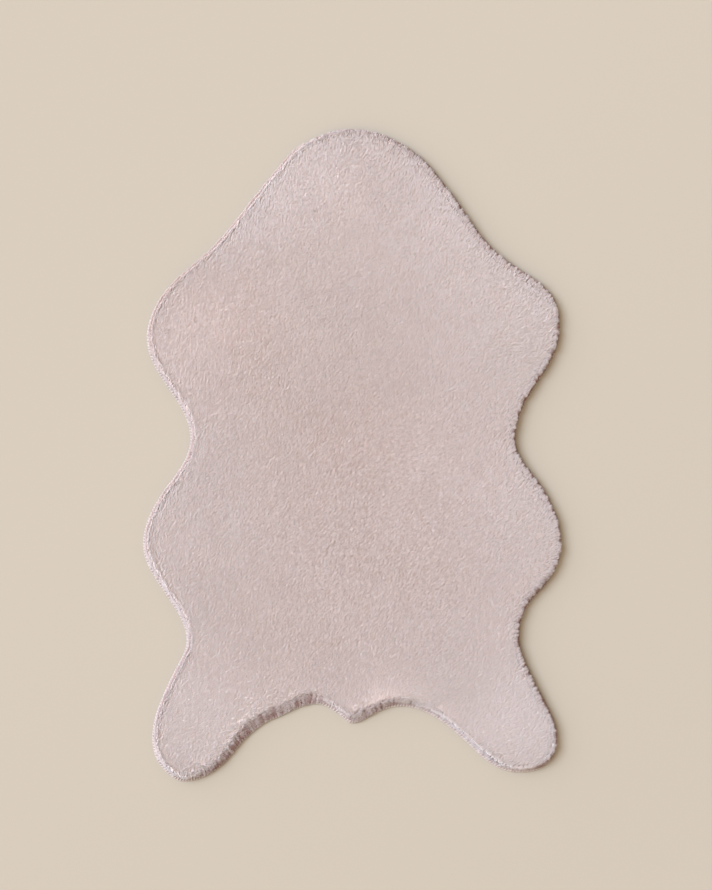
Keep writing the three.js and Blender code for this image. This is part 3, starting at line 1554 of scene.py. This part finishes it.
    def _leans(
        self,
        roots: np.ndarray,
        inset: np.ndarray,
        brink: Brink,
        shared: np.ndarray,
        draw: np.random.Generator,
    ) -> np.ndarray:
        """Works out which way and how far the tufts lean, before they are drawn together.

        The lean is a length along the nap, both changed by patterns and by chance. Where the fur
        is combed over the edge, it leans that way instead. Near the edge it is shorter and splays
        outwards, both fading exponentially.

        Args:
            roots: The roots' places.
            inset: How far inside the cut edge each is.
            brink: The side of the pile there.
            shared: The value from -1 to 1 that a clump's tufts share.
            draw: The source of random numbers.

        Returns:
            How far each tip lies from its root, across and along the rug.
        """
        count = len(roots)
        nearness = fading(inset - ROOT_INSET, self.edge_reach)
        combed = spread(self.ruffles, [ruffle.comb for ruffle in self.ruffles], roots)
        turned = np.minimum(1, combed) * bell(inset, self.comb_reach)

        heading = self.nap.heading(roots) + self.turn_strand.over(self.nap.combed(roots))
        own_turn = self.own_turn + self.opened_turn * brink.opened
        heading = heading + own_turn * draw.standard_normal(count)
        direction = np.stack([np.cos(heading), np.sin(heading)], axis=1)
        direction = direction * (1 - turned)[:, None] + brink.facing * turned[:, None]

        length = self.lean * (1 - self.edge_length * nearness * (1 - turned))
        uneven = self.length_swell.over(roots) + self.own_length * draw.standard_normal(count)
        splay = self.splay + self.shared_splay * shared + self.own_splay * draw.standard_normal(count)
        splay = nearness * splay * (1 - self.bare_splay * brink.bare)
        return direction * (length * (1 + uneven))[:, None] + brink.facing * splay[:, None]

    def _heights(
        self, roots: np.ndarray, grain: np.ndarray, draw: np.random.Generator
    ) -> np.ndarray:
        """Works out how high the tips are, where the side of the pile leaves them alone.

        Args:
            roots: The roots' places.
            grain: How uneven neighbouring tufts are there.
            draw: The source of random numbers.

        Returns:
            The heights above the roots, lower where the nap is pressed, and changed by patterns
            and by chance.
        """
        height = self.height * (1 - self.nap.press(roots))
        height = height * (1 + self.height_swell.over(roots))
        height = height * (1 + self.height_strand.over(self.nap.combed(roots)))
        return height * (1 + self.own_height * grain * draw.standard_normal(len(roots)))


@dataclass
class Fringe(Growth):
    """The tufts that cover the side of the pile, with tips at every level from 0 up to 1.

    Names that start with own mean what they do in the field, and shared is for the tufts of a
    tooth. Bare, dim, lit and opened are for such a side. Names that start with lip are shares of
    the lip that the highest tips take on an open side.
    """

    count: int = 45000
    width: float = 1.25 * MM
    own_width: float = 0.25

    # The tips' heights, and how much lower the highest are on a bare side.
    low: float = 3.4 * MM
    high: float = 15.2 * MM
    bare_drop: float = 4.0 * MM

    # How far in from the outermost roots the highest tips' roots are, how much of that a bare side
    # takes away, how far in chance moves a root, and how far in the lip and a bare side move it.
    depth: float = 6.0 * MM
    bare_depth: float = 0.75
    root_spread: float = 1.2 * MM
    lip_depth: float = 0.8
    bare_inset: float = 0.8 * MM

    # How much lower the tips of an open side are, by how much less in a knot that stands out, and
    # how far they are pulled to the knot's middle.
    opened_drop: float = 4.0 * MM
    knot_rise: float = 2.0 * MM
    knot_pull: float = 0.5

    # Low tips of a dim or open side droop: fully up to this level, and not at all above the next.
    # They hang out to the overhang less skirt_back, or more by opened_skirt where it is open.
    droop_full: float = 0.2
    droop_end: float = 0.7
    skirt_back: float = 0.2 * MM
    opened_skirt: float = 1.6 * MM

    # How far the highest tips are drawn back on a dim side and, as a share of the lip, an open one,
    # and how far all are on a bare side that faces the light less squarely than lit_from.
    dim_back: float = 3.2 * MM
    lip_back: float = 0.9
    shade_back: float = 1.0 * MM
    lit_from: float = 0.6

    # How far the teeth stand out at the top, and the share of that at the bottom, how far chance
    # moves a tip out and in, and along the edge, and how far it is pulled to its tooth's middle.
    tooth_out: float = 1.3 * MM
    tooth_low: float = 0.5
    own_out: float = 0.5 * MM
    own_along: float = 0.6 * MM
    opened_along: float = 0.9 * MM
    tooth_pull: float = 0.6

    # How much of the rim's lean along the edge the highest tips have.
    lean_along: float = 0.6

    # The tint's changes from tooth to tooth, from tuft to tuft, where open, which makes its painted
    # shade pinker, and where bare and lit, a duller tint of painted shade that offsets the light.
    shared_tint: float = 0.05
    own_tint: float = 0.10
    opened_tint: float = 0.25
    lit_tint: float = 0.35

    # Painted shade: the lowest tips' tone on a dim and on a bare side, the highest tips' tone and how
    # much deeper it is where dim and where lit, how it bends between them, and how it changes from
    # tooth to tooth of a dim side. Where lit, the deeper tone offsets the light.
    dim_low_tone: float = 0.05
    bare_low_tone: float = 0.42
    high_tone: float = 0.95
    dim_high_tone: float = 0.35
    lit_high_tone: float = 0.45
    tone_bend: float = 1.5
    tooth_tone: float = 0.15

    # The tone of an open side, deep as painted shade, and its changes from knot to knot, from tooth
    # to tooth, and upwards.
    opened_tone: float = 0.36
    opened_knot_tone: float = 0.18
    opened_tooth_tone: float = 0.26
    opened_rise_tone: float = 0.08
    tone_range: tuple[float, float] = (0.03, 0.99)
    # How far along the way to the tip colour the roots of a bare side start; those of a dim or open side
    # keep the root colour's painted shade.
    bare_base: float = 0.4

    def grow(self, draw: np.random.Generator) -> Tufts:
        """Covers the side of the pile with tufts.

        The tips are spread up the side by chance, a little outside it or inside it, in teeth a
        few millimetres wide that stand out by turns. The higher a tip is, the further in is its
        root, by the square of its level. The lower a tip ends, the closer its colour is to the
        root's, as painted shade under the tips above it.

        Args:
            draw: The source of random numbers.

        Returns:
            The tufts.
        """
        count = self.count
        station = draw.integers(0, len(self.edge.cut), count)
        slide = draw.uniform(-0.5, 0.5, count) * self.edge.spacing
        place = self.edge.cut[station] + along_edge(self.edge.facing[station]) * slide[:, None]
        brink = self.brink(station, place, place)
        opened, bare = brink.opened, brink.bare

        level = draw.uniform(0, 1, count)
        inset = ROOT_INSET + self.depth * level**2 * (1 - self.bare_depth * bare)
        inset = inset + self.root_spread * draw.uniform(0, 1, count)
        inset = inset + self.lip_depth * self.lip * opened * level + self.bare_inset * bare
        roots = place - brink.facing * inset[:, None]
        knot, heap = self.knots.of(roots)
        height = self.low + (self.high - self.low - self.bare_drop * bare) * level
        height = height + opened * level * (self.knot_rise * heap - self.opened_drop)

        flat = self._spread_out(station, brink, level, height, draw)
        flat = flat + (knot - roots) * (self.knot_pull * opened * level)[:, None]
        half = self.width / 2 * np.exp(self.own_width * draw.standard_normal(count))
        own_tint = self.own_tint * draw.standard_normal(count)
        tint = self.tints(roots, self.edge.nearest(roots)[1]) + self.shared_tint * brink.jut + own_tint
        # Painted shade: a bare side that faces the light takes a duller tint.
        tint = tint + self.opened_tint * opened - self.lit_tint * bare * brink.sunlit
        tone = np.clip(self._tones(brink, level, heap), *self.tone_range)
        return Tufts(
            self.rooted(roots),
            np.column_stack([flat, height]),
            half,
            np.clip(tint, *self.tint_range),
            tone,
            self.bare_base * bare,
            np.zeros(count),
        )

    def _spread_out(
        self,
        station: np.ndarray,
        brink: Brink,
        level: np.ndarray,
        height: np.ndarray,
        draw: np.random.Generator,
    ) -> np.ndarray:
        """Spreads the tips over the side of the pile.

        A tip lies as far out as the side is at its height, or droops from there to the skirt that
        hangs over the thread, and is drawn back by the level. Its tooth and chance move it out or
        in and along the edge, and the nap's lean moves it along the edge by the level.

        Args:
            station: The number of the nearest station.
            brink: The side of the pile there.
            level: How far up the side each tip is, from 0 to 1.
            height: The tips' heights.
            draw: The source of random numbers.

        Returns:
            Where the tips are, seen from above.
        """
        opened = brink.opened
        droop = (self.droop_end - level) / (self.droop_end - self.droop_full)
        droop = brink.rough * np.clip(droop, 0, 1)
        side = self.edge.side_out(height - CLOTH_TOP, station)
        skirt = ROOT_INSET + self.edge.overhang[station] + self.opened_skirt * opened - self.skirt_back
        out = side * (1 - droop) + skirt * droop - ROOT_INSET
        out = out - (self.dim_back * brink.dim + self.lip * self.lip_back * opened) * level
        out = out - self.shade_back * brink.bare * (1 - np.minimum(1, brink.sunlit / self.lit_from))
        out = out + self.tooth_out * brink.jut * (self.tooth_low + (1 - self.tooth_low) * level)
        out = out + self.own_out * draw.standard_normal(len(level))
        own_along = self.own_along + self.opened_along * opened
        along = self.tooth_pull * brink.off + own_along * draw.standard_normal(len(level))
        lean = RIM_LEAN - brink.facing * (brink.facing @ RIM_LEAN)[:, None]
        flat = brink.place + brink.facing * out[:, None] + brink.along * along[:, None]
        return flat + lean * (self.lean_along * level)[:, None]

    def _tones(self, brink: Brink, level: np.ndarray, heap: np.ndarray) -> np.ndarray:
        """Works out the tips' tones, before they are kept within their range.

        The tone goes from the lowest tips' to the highest tips' by a power of the level. Where the
        side is open, it goes by the knots and teeth instead. Deeper tones are painted shade: low on
        the side, on a dim side, on an open side, and, offsetting the light, on a lit side.

        Args:
            brink: The side of the pile there.
            level: How far up the side each tip is, from 0 to 1.
            heap: How far the tuft's knot stands out, from -1 to 1.

        Returns:
            One tone for each tip.
        """
        low = self.dim_low_tone * brink.dim + self.bare_low_tone * brink.bare
        lit = self.lit_high_tone * brink.sunlit * (1 - brink.dim)
        high = self.high_tone - self.dim_high_tone * brink.dim - lit
        tone = low + (high - low) * level**self.tone_bend + self.tooth_tone * brink.jut * brink.dim
        opened = self.opened_tone + self.opened_knot_tone * heap + self.opened_tooth_tone * brink.jut
        opened = opened + self.opened_rise_tone * level
        return tone * (1 - brink.opened) + opened * brink.opened


@dataclass
class Fur:
    """The fur, as tufts that are pointed at both ends and bent over with the nap.

    A tuft is a slender solid of four points: its root in the cloth, its left and right where it
    comes out of the bed and bends, and its tip. Light scatters between fibres, so a tuft is shaded
    more evenly than a hard solid.

    Attributes:
        field: The tufts that lean with the nap.
        fringe: The tufts that end all over the side of the pile.
        bend_lean: How much of its lean a tuft has where it bends.
        bend_height: How much of its height it has there.
        calm_bend: What is added to that where the pile lies smoothly.
        roll: How far chance turns a tuft about its length at most, in radians.
        evenness: How much the shading takes a tuft to face up.
        roundness: How much it takes the tuft to face to the left and right.
        calm_round: How much of the roundness a smooth pile takes away.
        strip: How far the colour chart is stepped across to either side of a tuft's tint.
        least_base: The least share of the tip's tone that a root has.
        least_across: The least length that the way across a tuft is taken to have.
        seed: Chooses the pattern of chance.
    """

    field: Field
    fringe: Fringe
    bend_lean: float = 0.42
    bend_height: float = 0.72
    calm_bend: float = -0.18
    roll: float = math.radians(35)
    evenness: float = 0.9
    roundness: float = 0.4
    calm_round: float = 0.7
    strip: float = 0.003
    least_base: float = 0.01
    least_across: float = 1e-6
    seed: int = 7

    def build(self) -> list[bpy.types.Object]:
        """Grows the tufts and splits them into zones of equal numbers, from the feet up.

        Returns:
            One piece for each zone.
        """
        draw = np.random.default_rng(self.seed)
        tufts = self.field.grow(draw).joined(self.fringe.grow(draw))
        parts = np.array_split(np.arange(len(tufts.half)), len(Zone))
        return [
            self._mesh(f"fur_{zone.value}", tufts.part(chosen), draw)
            for zone, chosen in zip(Zone, parts)
        ]

    def _mesh(self, name: str, tufts: Tufts, draw: np.random.Generator) -> bpy.types.Object:
        """Makes the solids of some tufts.

        A tuft bends at these shares of its lean and height, and is widest there. Its normals are
        mostly upright, and turn out to its left and right only a little. Its colour goes by a
        chart, with the tint across and from root to tip along, of which it takes a narrow strip. The
        chart's deeper root end is painted shade.

        Args:
            name: The piece's name.
            tufts: The tufts.
            draw: The source of random numbers.

        Returns:
            The piece.
        """
        count = len(tufts.half)
        way = tufts.tip - tufts.root
        share = np.full((count, 3), self.bend_lean)
        share[:, 2] = self.bend_height + self.calm_bend * tufts.calm
        bend = tufts.root + way * share
        axis = way / np.linalg.norm(way, axis=1, keepdims=True)
        up = np.array([0.0, 0.0, 1.0])
        across = np.cross(axis, up)
        broad = np.maximum(np.linalg.norm(across, axis=1, keepdims=True), self.least_across)
        across = across / broad
        roll = draw.uniform(-1, 1, count) * self.roll
        side = across * np.cos(roll)[:, None] + np.cross(axis, across) * np.sin(roll)[:, None]

        upright = self.evenness * up + (1 - self.evenness) * np.cross(side, axis)
        turned = side * (self.roundness * (1 - self.calm_round * tufts.calm))[:, None]
        normals = np.stack([upright, upright - turned, upright + turned, upright], axis=1)
        normals = normals / np.linalg.norm(normals, axis=2, keepdims=True)
        side = side * tufts.half[:, None]
        points = np.stack([tufts.root, bend - side, bend + side, tufts.tip], axis=1)

        root, left, right, tip = range(4)
        pattern = np.array(
            [(root, right, left), (tip, left, right), (root, left, tip), (root, tip, right)]
        )
        faces = (np.arange(count) * 4)[:, None, None] + pattern[None]
        across_chart = tufts.tint[:, None] + self.strip * np.array([0, -1, 1, 0])
        start = np.maximum(tufts.base, self.least_base)[:, None]
        along_chart = (start + (1 - start) * np.array([0.0, 0.5, 0.5, 1.0])) * tufts.tone[:, None]
        chart = np.stack([across_chart, along_chart], axis=2)
        uvs = chart[:, pattern.ravel()].reshape(-1, 2)
        return build_mesh(
            name, points.reshape(-1, 3), faces.reshape(-1, 3), uvs, normals.reshape(-1, 3)
        )


@dataclass
class Overlock:
    """The thread that binds the cut edge: a loop over it at every stitch, and the locking chains.

    Attributes:
        edge: The rug's edge.
        pitch: How far apart the stitches are.
        radius: The thickness of a loop, halved.
        chain_radius: The thickness of a chain's link, halved.
        sides: How many sides the thread's section has.
        uneven: How far chance moves a stitch, as a standard deviation.
        least_bend: A path that bends less than this is straight.
        seed: Chooses the pattern of chance.
        loop: The points of a loop.
        chains: Where the two chains lie.
        link: The points of a link along the edge, as shares of the pitch, and the share of the
            radius at each.
    """

    edge: CutEdge
    pitch: float = 3.8 * MM
    radius: float = 0.56 * MM
    chain_radius: float = 0.34 * MM
    sides: int = 5
    uneven: float = 0.12 * MM
    least_bend: float = 1e-9
    seed: int = 17
    loop: tuple[tuple[float, float, float], ...] = (
        # inset, height, slant along the edge
        (4.9 * MM, 3.3 * MM, 1.5 * MM),
        (2.6 * MM, 3.6 * MM, 0.8 * MM),
        (0.8 * MM, 3.0 * MM, 0.2 * MM),
        (0.1 * MM, 1.7 * MM, 0.0 * MM),
        (0.9 * MM, 0.65 * MM, -0.2 * MM),
        (3.6 * MM, 0.62 * MM, -0.9 * MM),
    )
    chains: tuple[tuple[float, float], ...] = (
        # inset, height
        (0.1 * MM, 2.1 * MM),
        (3.7 * MM, 0.5 * MM),
    )
    link: tuple[tuple[float, float], ...] = (
        # along, girth
        (-0.46, 0.5),
        (0.0, 1.0),
        (0.46, 0.5),
    )

    def build(self) -> list[bpy.types.Object]:
        """Builds the loops and the chains, at stitches an even pitch apart along the cut edge.

        Returns:
            The two pieces.
        """
        (place, facing), pitch = even_steps(self.edge.cut, self.pitch, self.edge.facing)
        facing = facing / np.linalg.norm(facing, axis=1, keepdims=True)
        along = along_edge(facing)
        draw = np.random.default_rng(self.seed)
        moved_in, moved_along, _ = np.hsplit(draw.normal(0, self.uneven, (len(place), 3)), 3)
        rings = [
            level_ring(place - facing * (inset + moved_in) + along * (slant + moved_along), height)
            for inset, height, slant in self.loop
        ]
        girth = np.full(len(self.loop), self.radius)
        loops = self._tubes("overlock_loops", np.stack(rings, axis=1), girth)
        links = []
        for inset, height in self.chains:
            middle = place - facing * inset
            rings = [level_ring(middle + along * (step * pitch), height) for step, _ in self.link]
            links.append(np.stack(rings, axis=1))
        girth = self.chain_radius * np.array([share for _, share in self.link])
        return [loops, self._tubes("overlock_chains", np.concatenate(links), girth)]

    def _tubes(self, name: str, path: np.ndarray, girth: np.ndarray) -> bpy.types.Object:
        """Carries a small polygon along many short paths at once.

        At each point of a path the polygon lies square to the way on, which is the difference of
        its two neighbours. A flat polygon closes each end.

        Args:
            name: The piece's name.
            path: Points, by tube, then by ring, in three columns.
            girth: The radius at each ring.

        Returns:
            One joined mesh of all the tubes.
        """
        ahead = np.concatenate([path[:, 1:], path[:, -1:]], axis=1)
        behind = np.concatenate([path[:, :1], path[:, :-1]], axis=1)
        way = ahead - behind
        way = way / np.linalg.norm(way, axis=2, keepdims=True)
        bent = np.cross(path[:, -1:] - path[:, :1], path[:, 1:2] - path[:, :1])
        level = np.cross(way * [1.0, 1.0, 0.0], [0.0, 0.0, 1.0])
        straight = np.linalg.norm(bent, axis=2, keepdims=True) < self.least_bend
        side = np.where(straight, level, bent)
        side = side - way * (side * way).sum(2, keepdims=True)
        side = side / np.linalg.norm(side, axis=2, keepdims=True)
        up = np.cross(way, side)
        tubes, rings = path.shape[:2]
        angle = (np.arange(self.sides) * 2 * math.pi / self.sides)[:, None]
        round_it = side[:, :, None] * np.cos(angle) + up[:, :, None] * np.sin(angle)
        points = path[:, :, None] + round_it * girth[:, None, None]
        fan = np.array([(0, k + 1, k) for k in range(1, self.sides - 1)])
        last = (rings - 1) * self.sides
        pattern = np.concatenate([ring_faces(rings, self.sides), fan, last + fan[:, [0, 2, 1]]])
        start = (np.arange(tubes) * rings * self.sides)[:, None, None]
        faces = (start + pattern[None]).reshape(-1, 3)
        return build_mesh(name, points.reshape(-1, 3), faces)


@dataclass(frozen=True)
class Lamp:
    """A lamp so far away that its light comes from one broad patch of the sky.

    Attributes:
        name: The lamp's name.
        heading: Where the middle of the patch is, in degrees from +X.
        elevation: How high it is, in degrees.
        spread: How broad it is, in degrees.
        strength: Its light in watts per square metre.
        colour: Its colour.
    """

    name: str
    heading: float
    elevation: float
    spread: float
    strength: float
    colour: str

    def hang(self) -> None:
        """Puts the lamp into the scene."""
        lamp = bpy.data.lights.new(self.name, "SUN")
        lamp.angle = math.radians(self.spread)
        lamp.energy = self.strength
        lamp.color = linear(self.colour)[:3]
        holder = bpy.data.objects.new(self.name, lamp)
        holder.rotation_euler = (math.radians(90 - self.elevation), 0.0, math.radians(self.heading + 90))
        bpy.context.scene.collection.objects.link(holder)


@dataclass
class Studio:
    """The plain floor, the soft light from the left, and the camera straight above.

    Attributes:
        floor_size: The side of the square floor.
        camera_height: How high the camera hangs.
        sensor: How wide the camera's sensor is, in millimetres.
        lamps: The lamps.
        sky_strength: How strong the even light from the sky is.
        sky_colour: Its colour.
    """

    floor_size: float = 9.0
    camera_height: float = 3.0
    sensor: float = 36.0
    lamps: tuple[Lamp, ...] = (
        # name, heading, elevation, spread, strength, colour
        Lamp("key_light", 154.0, 49.0, 36.0, 3.50, "cce4ff"),
        Lamp("fill_light", 148.0, 54.0, 120.0, 1.82, "fffffb"),
        Lamp("low_light", 150.0, 24.0, 44.0, 1.05, "e2ebff"),
    )
    sky_strength: float = 0.60
    sky_colour: str = "ffe3bc"

    def build(self) -> None:
        """Makes the floor, the lights and the camera."""
        self._floor()
        self._lights()
        self._camera()
        bpy.context.scene.view_settings.view_transform = "Standard"

    def _floor(self) -> None:
        """Lays the painted floor."""
        half = self.floor_size / 2
        corners = np.array([(-half, -half, 0), (half, -half, 0), (half, half, 0), (-half, half, 0)])
        floor = build_mesh("floor", corners, np.array([(0, 1, 2, 3)]))
        floor.data.materials.append(FloorFinish().material())

    def _lights(self) -> None:
        """Hangs the lamps, and lights the rest evenly from the sky."""
        for lamp in self.lamps:
            lamp.hang()
        world = bpy.data.worlds.new("studio")
        world.use_nodes = True
        tree = world.node_tree
        tree.nodes.clear()
        sky = add_node(
            tree,
            "ShaderNodeBackground",
            {"Color": linear(self.sky_colour), "Strength": self.sky_strength},
        )
        add_node(tree, "ShaderNodeOutputWorld", {"Surface": sky.outputs["Background"]})
        bpy.context.scene.world = world

    def _camera(self) -> None:
        """Hangs the camera over the middle of the photograph's frame, looking straight down.

        The lens is as long as makes the frame's longer side as high on the floor as it is in the
        photograph.
        """
        width, height = FRAME_PIXELS
        lens = bpy.data.cameras.new("camera")
        lens.sensor_width = self.sensor
        lens.lens = self.sensor * self.camera_height / (height * PIXEL)
        camera = bpy.data.objects.new("camera", lens)
        camera.location = (
            (width / 2 - ORIGIN_PIXEL[0]) * PIXEL,
            (ORIGIN_PIXEL[1] - height / 2) * PIXEL,
            self.camera_height,
        )
        bpy.context.scene.collection.objects.link(camera)
        bpy.context.scene.camera = camera


def main() -> None:
    """Builds the rug and the studio round it, and reports each piece."""
    logging.basicConfig(level=logging.INFO, format="%(message)s", stream=sys.stdout)
    Studio().build()
    edge = CutEdge()
    cloth = GroundCloth(edge).build()
    bed = FurBed(edge, RUFFLES).build()
    zones = Fur(Field(edge, TONES, RUFFLES), Fringe(edge, TONES, RUFFLES)).build()
    stitches = Overlock(edge).build()

    dress([cloth], GroundClothFinish().material(), "fur_panel")
    dress([bed], FurBedFinish().material(), "fur_panel")
    dress(zones, FurFinish().material(), "fur_panel")
    dress(stitches, ThreadFinish().material(), "overlocked_edge")
    for piece in (cloth, bed, *zones, *stitches):
        LOG.info("%s: %d faces", piece.name, len(piece.data.polygons))


if __name__ == "__main__":
    main()
